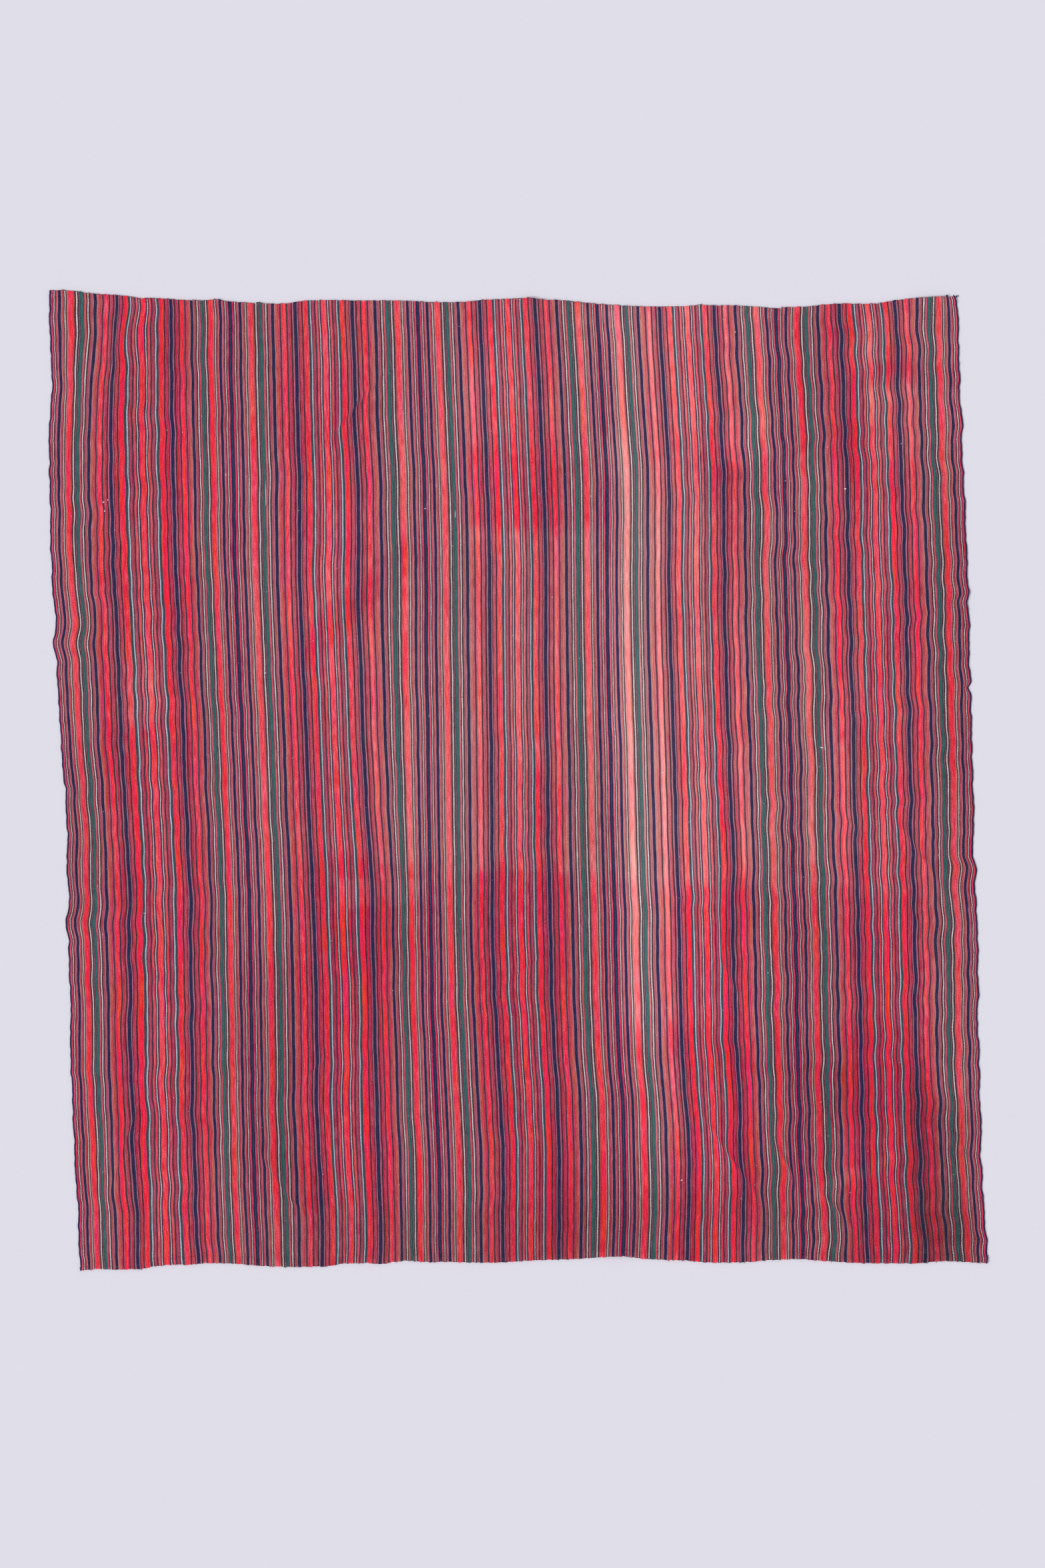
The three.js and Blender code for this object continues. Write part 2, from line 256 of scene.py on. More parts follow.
# Wear by light, folding and washing, laid out along straightened warp: x, y, width, height, turn in degrees,
# strength (pale over 0, deep under 0), and how softly the patch ends at its sides, bottom and top
WEAR_PATCHES = (
    (285, 180, 150, 770, 0, 0.26, 40, 60, 60), (246, 170, 80, 740, 0, 0.34, 40, 80, 80),
    (246, -490, 70, 620, 0, 0.42, 40, 260, 80), (340, 790, 320, 310, 3, 0.12, 80, 60, 70),
    (140, -545, 1180, 724, -3.8, -0.3, 110, 330, 44), (-268, -330, 215, 350, -3.8, -0.14, 30, 200, 9),
    (0, -349, 172, 350, -3.8, -0.12, 30, 200, 9), (400, -376, 210, 350, -3.8, -0.12, 40, 200, 16),
    (-309, -216, 66, 58, 0, 0.55, 18, 20, 12), (-213, -208, 80, 44, 0, 0.35, 20, 18, 12),
    (-290, -300, 150, 110, 20, -0.3, 50, 60, 30), (560, -640, 400, 330, 6, -0.34, 110, 120, 70),
    (640, -585, 210, 110, 8, -0.3, 70, 60, 50), (494, -540, 250, 20, -6, -0.25, 40, 12, 12),
    (600, -752, 220, 26, 25, 0.4, 50, 16, 16), (92, -800, 140, 190, 0, -0.36, 50, 60, 90),
    (720, -868, 250, 90, 0, -0.22, 60, 30, 50), (-440, -760, 120, 120, -20, -0.3, 50, 60, 60),
    (20, 146, 280, 640, 0, 0.2, 60, 18, 26), (-190, 40, 260, 480, 0, 0.1, 90, 30, 160),
    (36, 550, 300, 140, 0, -0.28, 60, 26, 90), (-370, 335, 170, 70, 45, 0.12, 50, 36, 36),
    (-285, 340, 290, 46, 45, -0.32, 50, 30, 30), (-700, 190, 80, 190, 0, 0.2, 26, 12, 120),
    (-690, 60, 170, 110, 0, -0.18, 40, 60, 10), (-620, 620, 80, 680, 0, -0.08, 30, 150, 120),
    (690, 830, 200, 60, 35, 0.16, 50, 30, 40), (720, 680, 100, 160, 0, 0.32, 36, 60, 30),
    (770, 762, 190, 40, 0, -0.32, 50, 20, 26), (590, 740, 120, 280, 0, -0.32, 50, 90, 80),
    (660, 610, 70, 130, 0, -0.26, 36, 50, 50), (440, 560, 130, 80, 3, -0.22, 40, 50, 14),
    (420, 90, 26, 500, 0, 0.18, 14, 20, 160), (552, 80, 40, 480, 0, 0.18, 20, 20, 200),
    (632, 60, 40, 400, 0, 0.22, 20, 20, 160), (820, 120, 90, 700, 0, -0.16, 40, 160, 160),
    (-780, -560, 200, 700, 0, -0.12, 60, 160, 160), (-684, 0, 340, 1900, 0, -0.22, 60, 60, 60),
    (690, -120, 330, 1700, 0, -0.06, 60, 60, 200), (505, -150, 110, 1200, 0, 0.12, 40, 100, 100),
    (600, -400, 60, 900, 0, 0.1, 24, 100, 100), (-400, 0, 180, 1500, 0, -0.1, 60, 100, 100),
    (415, -60, 50, 260, 0, 0.12, 24, 60, 60), (815, 350, 70, 700, 0, -0.1, 30, 100, 100),
    (270, -840, 180, 130, 0, -0.15, 60, 40, 60), (790, -740, 130, 280, 0, -0.32, 50, 40, 90),
    (-530, -520, 220, 400, 0, -0.1, 80, 100, 100), (200, 100, 60, 1100, 0, 0.36, 24, 60, 60),
    (255, 720, 130, 320, 0, 0.2, 40, 40, 40), (-185, 250, 40, 900, 0, 0.15, 20, 60, 60),
    (-735, -800, 100, 200, 0, 0.12, 40, 50, 50), (-75, 490, 60, 100, 0, 0.15, 24, 30, 30),
    (185, 600, 60, 60, 0, 0.15, 24, 20, 20), (-440, 760, 480, 280, 0, -0.1, 100, 80, 60),
    (20, -75, 110, 200, 0, -0.2, 40, 40, 60), (325, -330, 120, 260, 0, 0.22, 40, 60, 60),
    (430, -480, 50, 360, 0, 0.2, 20, 80, 80), (610, -690, 50, 180, 0, 0.26, 20, 40, 40),
    (-695, 100, 100, 200, 0, 0.14, 30, 50, 50), (-585, -220, 60, 220, 0, -0.18, 24, 60, 60),
    (-465, -480, 70, 420, 0, -0.14, 30, 90, 90), (150, 820, 90, 130, 0, 0.15, 36, 40, 40),
    (-40, 710, 120, 160, 0, 0.14, 40, 50, 50), (10, -740, 90, 280, 0, -0.16, 36, 60, 80),
    (260, -800, 120, 200, 0, -0.14, 40, 40, 80),
)
# Patches that darken the wool (over 0) and patches that lighten it (under 0), laid out like the wear
DARKENING_PATCHES = (
    (137, -870, 1370, 150, 0, 0.16, 80, 20, 110), (775, -760, 130, 330, 0, 0.22, 60, 30, 120),
    (825, 20, 80, 1150, 0, 0.11, 40, 100, 100), (-826, -120, 60, 350, 0, 0.1, 30, 60, 60),
    (-489, -550, 110, 430, 0, 0.14, 50, 120, 120), (250, -330, 150, 330, 0, -0.15, 50, 90, 60),
    (320, -250, 290, 1000, 0, -0.1, 60, 140, 140), (-50, 640, 70, 430, 0, -0.14, 30, 80, 80),
    (-616, 520, 50, 400, 0, -0.12, 24, 80, 80), (430, 628, 70, 80, 0, -0.18, 30, 24, 24),
    (713, 475, 40, 100, 0, -0.16, 20, 30, 30), (605, 80, 45, 560, 0, -0.12, 24, 100, 100),
    (10, 650, 300, 400, 0, -0.06, 60, 100, 100), (130, -30, 60, 280, 0, 0.12, 26, 30, 60),
    (262, 740, 160, 380, 0, -0.14, 40, 60, 30), (400, 760, 150, 300, 0, -0.08, 60, 80, 60),
    (520, -150, 130, 1200, 0, 0.09, 50, 100, 100), (183, 200, 40, 620, 0, -0.12, 20, 80, 80),
    (345, 160, 36, 80, 0, 0.14, 18, 24, 24), (-625, 110, 60, 90, 0, -0.1, 26, 30, 30),
    (-360, 350, 160, 420, 0, -0.07, 60, 100, 100), (320, -870, 220, 110, 0, -0.12, 60, 20, 40),
    (318, 450, 40, 260, 0, -0.1, 20, 60, 60), (-474, 830, 90, 150, 0, 0.1, 36, 50, 40),
    (330, -720, 1000, 300, 0, 0.03, 150, 100, 120), (262, 220, 120, 800, 0, -0.05, 40, 120, 120),
)
# Ragged sides and ends of those patches: shift, then how far across and along the cloth for a radian of wave
RAGGED_SIDES = ((5, math.inf, 43), (3, 60, 17))
RAGGED_ENDS = ((4, 29, 80), (3, 11, math.inf))

# How the wool's unevenness is grained: cells to the metre across and along the cloth
HAIR_CELLS = (1600, 900)
WISP_CELLS = (260, 40)
FIBRE_CELLS = (760, 540)
STREAK_CELLS = (300, 48)
DYE_CELLS = (55, 2.2)
BLOTCH_CELLS = (16, 9)
FLUFF_CELLS = (700, 110)
SPECK_CELLS = (900, 760)
# How strong wisps are beside single hairs, and specks beside fluff
WISP_SHARE = 0.5
SPECK_SHARE = 0.7
# Each yarn changes tone and hue along it: cells to the warp end and to the metre
YARN_TONE_CELLS = 34
YARN_HUE_CELLS = (0.6, 7)
YARN_HUE_START = 70
# How unevenly the picks are beaten up: cells to the metre, picks gained
BEAT_CELLS = 14
BEAT_PICKS = 7
# The share of a pair of picks from which the second yarn shows, and how far stray hairs blur a stripe's edge
EVEN_PICK_FROM = 0.66
STRIPE_BLUR = 0.007
# The weave's relief: how high a sunk pick still is, and the depth of the ribs; fibres add a share of that
SUNK_PICK = 0.45
WEAVE_RELIEF = 0.35
FIBRE_RELIEF = 0.35
# How far the weave and the unevenness change the wool's brightness, its colour's strength and the fuzz on it;
# the weave's share of the brightness is painted shade, darker between the yarns and over sunk picks
PLAIN_VALUE = 0.85
VALUE_WEIGHTS = {"weave": 0.2, "yarn": 0.55, "dye": 0.2, "streak": 0.45, "fibre": 0.8}
PLAIN_STRENGTH = 1.0
STRENGTH_WEIGHTS = {"dye": 0.2, "fibre": -0.15, "streak": -0.1, "yarn": -0.36}
PLAIN_FUZZ = 0.015
FUZZ_WEIGHTS = {"fibre": 0.23, "streak": 0.08, "fluff": 0.085}
SAME_HUE = 0.5
YARN_HUE_SWING = 0.09
# What wear does. Pale places: brightness, loss of colour and dust, each plain and for red dye; shift of hue
PALE_VALUE = (0.15, -0.1)
PALE_FADING = (0.04, 0.3)
PALE_DUST = (0.03, 0.1)
PALE_HUE_SHIFT = 0.012
# Deep places: loss of brightness, gain of colour. Blotches add to both
DEEP_SHADE = 0.1
DEEP_STRENGTH = 0.2
BLOTCH_WEAR = 0.45
# Colours of dust on faded wool and of the fuzz on all of it, as linear light
DUST_COLOUR = (0.72, 0.5, 0.47, 1)
FUZZ_COLOUR = (0.48, 0.45, 0.48, 1)

# Slubs, knots and stuck threads on the face: x, y, length, width, turn, yarn; and how far they stand up
SLUBS = (
    (-779, 523, 4.5, 2.5, 20, "white"), (-777, 506, 3, 2.2, 80, "white"), (-771, 527, 3, 2, -30, "white"),
    (617, 548, 5, 2.6, 10, "white"), (-174, 511, 3, 2, 60, "white"), (273, 14, 3.4, 2.4, 0, "white"),
    (-475, 201, 5, 2.2, 35, "ice"), (573, 61, 7.5, 2.6, -15, "ice"), (388, 541, 4, 2.6, 0, "navy"),
    (-549, 575, 5, 1.8, 75, "cream"), (410, 843, 4, 1.6, 48, "ice"), (-474, 540, 60, 1.2, 91, "cream"),
    (-117, 501, 18, 1.2, 90, "cream"), (309, -753, 4, 2.4, 15, "white"), (820.5, 910.5, 5, 2.6, 85, "navy"),
    (826.5, 910, 6, 2.4, 66, "navy"), (808, 911, 4, 5, 90, "navy"), (-822, -919, 4, 3, 15, "navy"),
    (884.5, -899, 3.6, 2.8, 40, "navy"), (-823, -913, 3, 2, 60, "cream"), (-852, 912.5, 2.4, 2, 0, "white"),
)
SLUB_THICKNESS = 1.6
PLAIN_SHADE = 0.5

# Loose thread ends at corners and edges: x, y, turn, length, bend, yarn
LOOSE_ENDS = (
    (829, 909, 60, 4, 40, "navy"), (833, 784, 15, 3, 70, "ice"), (-823, -917, 215, 3, 60, "navy"),
    (-823, -908, 170, 3, 60, "cream"), (884, -896, -10, 3, 60, "maroon"), (-878, 918, 120, 3, 60, "wine"),
)
LOOSE_END_RADIUS = 0.5
LOOSE_END_SIDES = 6
LOOSE_END_STEPS = 5

# Tufts standing out of the hem folds: pitch, stray along the hem, inset, heights, swing, lengths, bends, yarns
TUFT_PITCH = 17
TUFT_STRAY = 8
TUFT_INSET = 0.6
TUFT_HEIGHTS = (-0.4, 1.0)
TUFT_SWING = 50
TUFT_LENGTHS = (1.0, 2.2)
TUFT_BENDS = (-70, 50, 80)
TUFT_YARNS = ("crimson", "crimson", "navy", "white")

# Sewing thread: stitch length, width, thickness and pitch, and how far each is out of place or turned
JOIN_STITCH = (4.6, 1.3, 0.9, 3.7)
JOIN_TURN = 122
JOIN_SWING = 9
JOIN_SIZES = (0.8, 1.1)
JOIN_STRAY = 0.4
JOIN_UNEVEN = 0.5
JOIN_SINK = 0.05
EDGE_STITCH = (3.2, 1.0, 0.9, 5.2)
EDGE_SWING = 35
EDGE_UNEVEN = 1.4
EDGE_INSET = 1.3
EDGE_SINK = 0.35
HEM_STITCH = (2.8, 0.8, 0.6, 12.0)
HEM_STITCH_INSET = 7.5
HEM_SWING = 25
HEM_SIZES = (0.7, 1.2)
HEM_STRAY = (2.5, 0.8)
STITCHES_FROM_END = 4
# Shades from the dark thread to the pale: plain stitches, and around a fleck's height on a selvedge
JOIN_SHADE = 0.22
JOIN_SHADES = (0.1, 1.0)
FLECK_BASE = 0.2
FLECK_PALENESS = 0.8
FLECK_REACH = 90
LEFT_FLECK = 860
RIGHT_FLECK = 790
# Where each join's thread shows pale: height, reach along the join, paleness
JOIN_TICKS = {
    1: ((-856, 40, 0.5), (650, 250, 0.2)),
    2: ((732, 60, 0.7), (267, 80, 0.4), (-213, 30, 1.2)),
    3: ((757, 40, 0.7), (568, 50, 0.6), (98, 80, 0.6), (-354, 130, 0.6), (-668, 120, 0.6)),
    4: ((663, 180, 0.8), (-191, 45, 0.9)),
}
# Plied thread: cells of its twist to the metre, how far they shade it, and their relief
PLY_CELLS = 1400
PLY_SHADE = 0.2
PLY_RELIEF = 0.2
# Thread colours as linear light
BLUE_THREAD = (0.028, 0.042, 0.112, 1)
BLUE_THREAD_PALE = (0.11, 0.21, 0.37, 1)
SELVEDGE_THREAD_PALE = (0.4, 0.5, 0.6, 1)

# Lint: how many fibres, where along the cloth, clear of the selvedges by this share of a band, sizes, swing
PALE_LINT_COUNT = 300
DARK_LINT_COUNT = 90
LINT_HEIGHTS = (-874.5, 875)
LINT_MARGIN = 0.02
LINT_LENGTHS = (1.2, 3.4)
LINT_WIDTHS = (0.7, 1.3)
LINT_THICKNESS = 0.7
LINT_SWING = 40

# The studio, in metres and degrees: a pale floor just under the cloth, an even surround and a broad lamp
FLOOR_HALF_WIDTH = 8.0
FLOOR_GAP = 0.0004
PAPER_COLOUR = (0.745, 0.73, 0.815, 1)
SURROUND_STRENGTH = 0.6
LAMP_HEIGHT = 42
LAMP_BEARING = 200
LAMP_SPREAD = 24

# The photograph: its frame in pixels, the cloth's middle in it, and the real size of a pixel
PHOTO_SIZE = (1568, 2352)
CLOTH_MIDDLE_IN_PHOTO = (776.5, 1170)
PIXEL = 1.255
CAMERA_HEIGHT = 5.0
SENSOR_HEIGHT = 36

SEED = 11


def smooth_through(values, place):
    """A smooth curve through evenly spaced values, read at places counted in steps."""
    values = np.asarray(values, float)
    last = len(values) - 1
    step = np.clip(np.floor(place), 0, last - 1).astype(int)
    part = np.clip(place - step, 0, 1)
    before, start, end, after = (values[np.clip(step + k, 0, last)] for k in (-1, 0, 1, 2))
    start_slope = (end - before) / 2
    end_slope = (after - start) / 2
    bend = 3 * (end - start) - 2 * start_slope - end_slope
    twist = start_slope + end_slope - 2 * (end - start)
    return start + part * (start_slope + part * (bend + part * twist))


def wave(place, wavelength, start):
    """A sine wave of height 1, started at a share of its wavelength."""
    return np.sin(2 * np.pi * (place / wavelength + start))


def bell(offset, reach):
    """1 at the middle, dying out smoothly past a reach to either side."""
    return np.exp(-((offset / reach) ** 2))


def hump(share):
    """A soft bump, 1 at the middle and 0 from half a length out."""
    return np.where(np.abs(share) < 0.5, np.cos(np.pi * np.clip(share, -0.5, 0.5)) ** 2, 0.0)


def eased(share):
    """A share from 0 to 1 that starts and ends gently."""
    return share * share * (3 - 2 * share)


def turned(x, y, middle_x, middle_y, turn):
    """Distances along and across a turned feature of the cloth."""
    angle = math.radians(turn)
    dx, dy = x - middle_x, y - middle_y
    return dx * math.cos(angle) + dy * math.sin(angle), dy * math.cos(angle) - dx * math.sin(angle)


def straightened(across):
    """Distance from the middle of straightened cloth, for places counted in bands from the left selvedge."""
    return (across - BAND_COUNT / 2) * BAND_WIDTH


def end_line(way_out, across):
    """Height of the top end (way out 1) or the bottom end (way out -1)."""
    line, bumps = (TOP_END, TOP_BUMPS) if way_out > 0 else (BOTTOM_END, BOTTOM_BUMPS)
    smooth = smooth_through(sum(line, ()), across * QUARTERS_PER_BAND)
    x = straightened(across)
    out = sum(height * wave(x, wavelength, start) for height, wavelength, start in HEM_WAVES)
    out = out + sum(height * bell(x - middle, reach) for middle, height, reach in bumps)
    return way_out * CLOTH_LENGTH / 2 + smooth + way_out * out


def selvedge_wobble(across, y):
    """Small sideways unevenness that dies out inward from the two outer selvedges."""
    wobble = np.zeros_like(y)
    for edge in (0, BAND_COUNT):
        near = bell((across - edge) * BAND_WIDTH, SELVEDGE_REACH)
        for height, wavelength, start in SELVEDGE_WAVES:
            wobble += near * height * wave(y, wavelength, start * (1 + edge))
    return wobble


def crosswise(across, y):
    """The straight place of a warp thread across the cloth, between its two seam lines."""
    place = (y - SEAM_HEIGHTS[0]) / SEAM_HEIGHTS.step
    lines = np.array([smooth_through(line, place) for line in SEAM_LINES.values()])
    left = np.minimum(np.floor(across).astype(int), BAND_COUNT - 1)
    points = np.arange(len(y))
    offset = lines[left, points] + (across - left) * (lines[left + 1, points] - lines[left, points])
    return straightened(across) + LEAN * y + offset


def crease_fields(x, y):
    """Each crease's strength along its run, distance from it, turn, cloth drawn in and height."""
    for crease_x, crease_y, half_length, turn, drawn, height in CREASES:
        run, off = turned(x, y, crease_x, crease_y, turn)
        yield hump(run / (2 * half_length)), off, math.radians(turn), drawn, height


def drawn_aside(across, x, y):
    """Sideways and lengthwise shifts of the cloth from swerves, wandering warp and creases."""
    shift_x, shift_y = np.zeros_like(x), np.zeros_like(y)
    for swerve_x, swerve_y, shift, reach_x, reach_y in SWERVES:
        shift_x += shift * np.exp(-(((x - swerve_x) / reach_x) ** 2) - ((y - swerve_y) / reach_y) ** 2)
    shift_x += selvedge_wobble(across, y)
    liveliness = smooth_through(LIVELINESS, across * 2)
    for height, wavelength, turn_bands, start in WANDER_WAVES:
        shift_x += liveliness * height * wave(y, wavelength, across / turn_bands + start)
    for strength, off, angle, drawn, _ in crease_fields(x, y):
        drawn_in = drawn * strength * np.tanh(off / (CREASE_SOFTNESS * drawn))
        pull = -drawn_in * np.exp(-np.abs(off) / CREASE_REACH)
        shift_x += -math.sin(angle) * pull
        shift_y += math.cos(angle) * pull
    return shift_x, shift_y


def rise(x, y):
    """How high the cloth's underside stands off the floor."""
    lifted = np.zeros_like(x)
    for ripple_x, ripple_y, length, width, height, turn in RIPPLES:
        run, off = turned(x, y, ripple_x, ripple_y, turn)
        lifted += height * hump(run / length) * hump(off / width)
    for strength, off, _, drawn, height in crease_fields(x, y):
        lifted += strength * height / (1 + (off / (2 * drawn)) ** 2) ** 2
    return lifted


def laid(across, y):
    """Where points of the cloth lie on the floor: x, y and the height of the underside."""
    x = crosswise(across, y)
    shift_x, shift_y = drawn_aside(across, x, y)
    return x + shift_x, y + shift_y, rise(x, y)


def band_end_rows():
    """One end of a band, cut edge under the hem to the flat: inset, height of the sheet's middle, lean."""
    radius = (CLOTH_THICKNESS + HEM_LAYER_GAP) / 2
    low = CLOTH_THICKNESS / 2
    high = low + 2 * radius
    fold = low + radius + HEM_FOLD_INSET
    rows = [(inset, low, 180) for inset in (HEM_DEPTH, *HEM_LAYER_INSETS)]
    for lean in HEM_FOLD_LEANS:
        angle = math.radians(lean)
        rows.append((fold - radius * math.sin(angle), low + radius + radius * math.cos(angle), lean))
    rows += [(inset, high, 0) for inset in (*reversed(HEM_LAYER_INSETS), HEM_DEPTH)]
    for share in HEM_SLOPE_SHARES:
        rows.append((HEM_DEPTH + share * HEM_SLOPE, high + (low - high) * eased(share), 0))
    return rows


def band_rows():
    """All rows of a band: share of the flat length, inset from an end, height, lean, way out, cloth run."""
    end = band_end_rows()
    rows = [(0.0, inset, height, lean, -1) for inset, height, lean in end]
    rows += [(k / FLAT_ROWS, HEM_DEPTH + HEM_SLOPE, CLOTH_THICKNESS / 2, 0, 0) for k in range(1, FLAT_ROWS)]
    rows += [(1.0, inset, height, lean, 1) for inset, height, lean in reversed(end)]
    flat_length = CLOTH_LENGTH - 2 * (HEM_DEPTH + HEM_SLOPE)
    run = [0.0]
    for (share, inset, height, *_), (next_share, next_inset, next_height, *_) in zip(rows, rows[1:]):
        step = math.hypot(next_inset - inset, next_height - height)
        run.append(run[-1] + step + (next_share - share) * flat_length)
    return np.column_stack([np.array(rows, float), run])


def band_columns():
    """Places across a band, closer together at the rounded selvedges, and the share of thickness there."""
    *steps, inmost = SELVEDGE_STEPS
    inner = np.linspace(inmost, BAND_WIDTH - inmost, COLUMNS - 2 * len(steps) + 1)
    places = np.concatenate([steps, inner, [BAND_WIDTH - step for step in reversed(steps)]])
    from_edge = np.minimum(places, BAND_WIDTH - places)
    fullness = np.sqrt(np.clip(1 - (1 - np.minimum(from_edge / inmost, 1)) ** 2, SELVEDGE_THINNEST, 1))
    return places, fullness


ROW_SHARE, ROW_INSET, ROW_HEIGHT, ROW_LEAN, ROW_WAY_OUT, ROW_RUN = band_rows().T
COLUMN_PLACES, COLUMN_FULLNESS = band_columns()
CLOTH_RUN = ROW_RUN[-1]


def ragged(waves, x, y):
    """How far the edge of a patch strays."""
    return sum(shift * np.sin(x / across + y / along) for shift, across, along in waves)


def patched(patches, across, y):
    """Strength of a table of soft patches at points of the cloth."""
    x = straightened(across)
    ragged_x = x + ragged(RAGGED_SIDES, x, y)
    ragged_y = y + ragged(RAGGED_ENDS, x, y)
    total = np.zeros_like(x)
    for patch_x, patch_y, width, height, turn, strength, soft_side, soft_bottom, soft_top in patches:
        run, off = turned(ragged_x, ragged_y, patch_x, patch_y, turn)
        insides = (
            (width / 2 - np.abs(run)) / soft_side,
            (height / 2 + off) / soft_bottom,
            (height / 2 - off) / soft_top,
        )
        total += strength * np.prod([eased(np.clip(inside + 0.5, 0, 1)) for inside in insides], axis=0)
    return total


def new_piece(name, mesh, finish):
    piece = bpy.data.objects.new(name, mesh)
    bpy.context.scene.collection.objects.link(piece)
    mesh.materials.append(finish)
    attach(piece, "root")
    return piece


def smooth_mesh(name, shape):
    """A finished shape as a mesh with smooth faces."""
    mesh = bpy.data.meshes.new(name)
    shape.to_mesh(mesh)
    shape.free()
    mesh.polygons.foreach_set("use_smooth", np.ones(len(mesh.polygons), bool))
    return mesh


def band_slab():
    """A flat divided slab, one unit wide, long and thick."""
    slab = bmesh.new()
    bmesh.ops.create_grid(slab, x_segments=len(COLUMN_PLACES) - 1, y_segments=len(ROW_RUN) - 1, size=0.5)
    raised = bmesh.ops.extrude_face_region(slab, geom=slab.faces[:], use_keep_orig=True)
    upper = [item for item in raised["geom"] if isinstance(item, bmesh.types.BMVert)]
    bmesh.ops.translate(slab, verts=upper, vec=(0, 0, 1))
    bmesh.ops.recalc_face_normals(slab, faces=slab.faces[:])
    return smooth_mesh("band_slab", slab)


def map_cloth(mesh, index, column, row, corners):
    """The cloth map, in metres of woven cloth, with the bands far apart along it."""
    charted = COLUMN_PLACES[column]
    if index == 0:
        charted = charted + smooth_through(BAND_1_SPREAD, charted / BAND_WIDTH * (len(BAND_1_SPREAD) - 1))
    cloth = np.column_stack([charted, ROW_RUN[row] + index * BAND_OFFSET_ON_MAP]) * MM
    woven = mesh.uv_layers.new(name="cloth")
    woven.data.foreach_set("uv", cloth[corners].ravel())


def map_sides(mesh, column, row, upper, corners):
    """A map that lays the face's two halves, the back and the rims side by side."""
    faces = corners.reshape(-1, 4)
    across = (COLUMN_PLACES[column] / BAND_WIDTH)[faces]
    along = (ROW_RUN[row] / CLOTH_RUN)[faces]
    upper_share = upper[faces].mean(axis=1)
    on_face, on_back = upper_share == 1, upper_share == 0
    lower_half = along.mean(axis=1) < 0.5
    half_along = np.where(lower_half[:, None], along, along - 0.5) * 2
    start = np.select([on_face & lower_half, on_face, on_back], [*FACE_HALF_STARTS, BACK_MAP_START], 0.0)
    width = np.select([on_face, on_back], [FACE_MAP_WIDTH, BACK_MAP_WIDTH], 0.0)
    u = start[:, None] + width[:, None] * across
    v = np.where(on_face[:, None], half_along, along)

    rim = ~on_face & ~on_back
    selvedge = rim & (np.ptp(column[faces], axis=1) == 0)
    cut = rim & ~selvedge
    strip = np.where(
        selvedge,
        np.where(column[faces[:, 0]] == 0, *SELVEDGE_RIM_STARTS),
        np.where(row[faces[:, 0]] == 0, *CUT_RIM_STARTS),
    )
    u[rim] = (strip[:, None] + RIM_MAP_WIDTH * upper[faces])[rim]
    v[cut] = across[cut]
    baked = mesh.uv_layers.new(name="OFBake")
    baked.data.foreach_set("uv", (MAP_MARGIN + (1 - 2 * MAP_MARGIN) * np.stack([u, v], axis=2)).ravel())


def woven_band(index, slab, finish):
    """One length of woven band, bent onto the floor with its hems turned under."""
    mesh = slab.copy()
    mesh.name = f"woven_band_{index + 1}"
    flat = np.empty(len(mesh.vertices) * 3)
    mesh.vertices.foreach_get("co", flat)
    flat = flat.reshape(-1, 3)
    column = np.rint((flat[:, 0] + 0.5) * (len(COLUMN_PLACES) - 1)).astype(int)
    row = np.rint((flat[:, 1] + 0.5) * (len(ROW_RUN) - 1)).astype(int)
    upper = (flat[:, 2] > 0.5).astype(float)

    inside = SEAM_GAP / 2 + COLUMN_PLACES[column] * (BAND_WIDTH - SEAM_GAP) / BAND_WIDTH
    across = index + inside / BAND_WIDTH
    bottom = end_line(-1, across) + HEM_DEPTH + HEM_SLOPE
    top = end_line(1, across) - HEM_DEPTH - HEM_SLOPE
    way_out = ROW_WAY_OUT[row]
    on_floor = bottom + ROW_SHARE[row] * (top - bottom) + way_out * (HEM_DEPTH + HEM_SLOPE - ROW_INSET[row])
    half = (upper - 0.5) * CLOTH_THICKNESS * COLUMN_FULLNESS[column]
    lean = np.radians(ROW_LEAN[row])
    x, y, lifted = laid(across, on_floor)
    z = lifted + ROW_HEIGHT[row] + half * np.cos(lean)
    places = np.column_stack([x, y + way_out * half * np.sin(lean), z])
    mesh.vertices.foreach_set("co", (places * MM).ravel())

    corners = np.empty(len(mesh.loops), int)
    mesh.loops.foreach_get("vertex_index", corners)
    map_cloth(mesh, index, column, row, corners)
    map_sides(mesh, column, row, upper, corners)
    for name, patches in (("wear", WEAR_PATCHES), ("darkening", DARKENING_PATCHES)):
        marks = mesh.attributes.new(name, "FLOAT", "POINT")
        marks.data.foreach_set("value", patched(patches, across, on_floor))
    mesh.update()
    return new_piece(f"woven_band_{index + 1}", mesh, finish)


def grain_places(stitches):
    """Matrices for stitches or slubs given as x, y, height off the floor, length, width, thickness, turn."""
    for x, y, z, length, width, thickness, turn in stitches:
        place = Matrix.Translation(Vector((x, y, z)) * MM) @ Matrix.Rotation(math.radians(turn), 4, "Z")
        yield place @ Matrix.Diagonal((length / 2 * MM, width / 2 * MM, thickness / 2 * MM, 1))


def thread_grains(name, stitches, shades, finish):
    """Many short laid threads as one mesh, with a shade for each."""
    grains = bmesh.new()
    for place in grain_places(stitches):
        bmesh.ops.create_icosphere(grains, subdivisions=1, radius=1, matrix=place)
    mesh = smooth_mesh(name, grains)
    points = len(mesh.vertices) // len(stitches)
    shade = mesh.attributes.new("shade", "FLOAT", "POINT")
    shade.data.foreach_set("value", np.repeat(np.array(shades, float), points))
    return new_piece(name, mesh, finish)


def astray(draw, reach):
    return draw.uniform(-reach, reach)


def along_warp(across, pitch, uneven, draw):
    """Unevenly spaced heights along one warp line of the cloth."""
    line = np.array([across])
    start = float(end_line(-1, line)[0]) + STITCHES_FROM_END
    stop = float(end_line(1, line)[0]) - STITCHES_FROM_END
    heights = np.arange(start, stop, pitch)
    return heights + np.array([astray(draw, uneven) for _ in heights])


